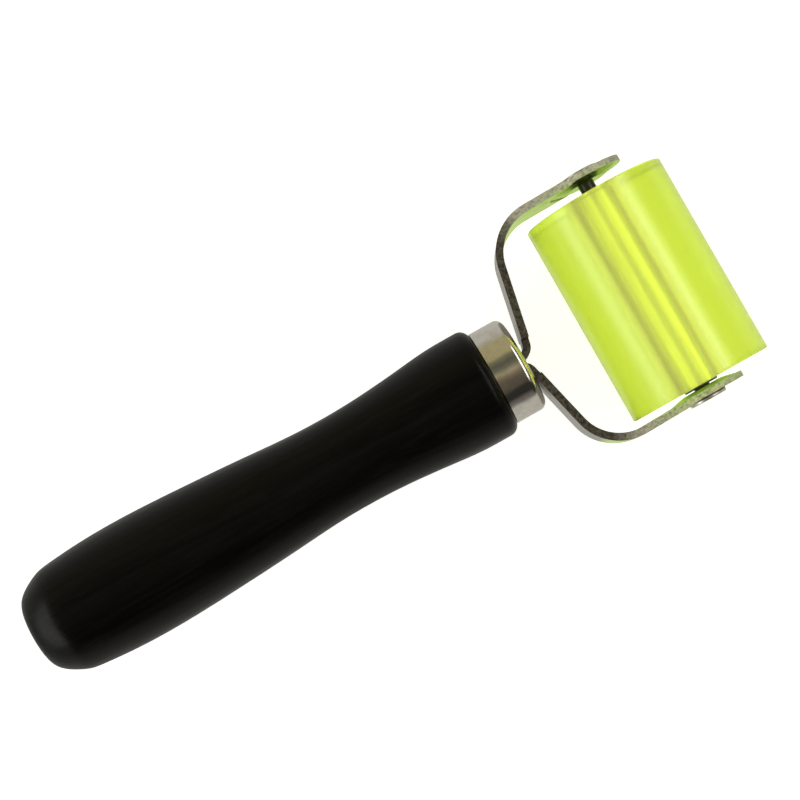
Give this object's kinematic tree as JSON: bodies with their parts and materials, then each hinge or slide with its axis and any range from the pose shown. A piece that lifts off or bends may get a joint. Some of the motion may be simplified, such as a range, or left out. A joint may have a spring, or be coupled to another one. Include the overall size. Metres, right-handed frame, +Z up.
{
  "type": "rubber brayer",
  "caption": "Hand brayer: a soft cylindrical roller that turns freely in a steel fork on a turned, dark wooden handle with a metal ferrule.",
  "frame": {"origin": "bottom centre of the bounding box, on the table the brayer lies on", "axes": "+X from the handle to the roller, +Y along the roller's axle, +Z up; the brayer lies on its roller and on the thick of its grip, so its own axis is tipped 1.43 degrees"},
  "size_m": [0.1788, 0.0604, 0.035],
  "materials": {
    "lime_urethane": "frosted translucent lime polyurethane, satin, with fine scuffs round it",
    "core_steel": "drawn tube, fine lengthwise lines",
    "nylon": "natural nylon, matte",
    "fork_steel": "bright steel strip, smooth faces, dull mottled sheared edges",
    "rivet_steel": "bright turned steel, satin head",
    "nickel_ferrule": "polished nickel plate, faint lines round it",
    "black_wood": "black stained and lacquered hardwood, satin, faint lengthwise grain, worn at the butt"
  },
  "bodies": {
    "handle_frame": {"handle": "black_wood", "ferrule": "nickel_ferrule", "fork_left": "fork_steel", "fork_right": "fork_steel", "tang_rivet_front": "rivet_steel", "tang_rivet_rear": "rivet_steel", "axle_pin": "rivet_steel"},
    "roller": {"roller_tyre": "lime_urethane", "core_sleeve": "core_steel", "bushing_left": "nylon", "bushing_right": "nylon", "thrust_washer_left": "rivet_steel", "thrust_washer_right": "rivet_steel"}
  },
  "joints": [
    {"name": "roller_spin", "type": "hinge", "parent": "handle_frame", "child": "roller", "pos_m": [0.07191, -0.00134, 0.0175], "axis": [0, 1, 0], "continuous": true}
  ]
}
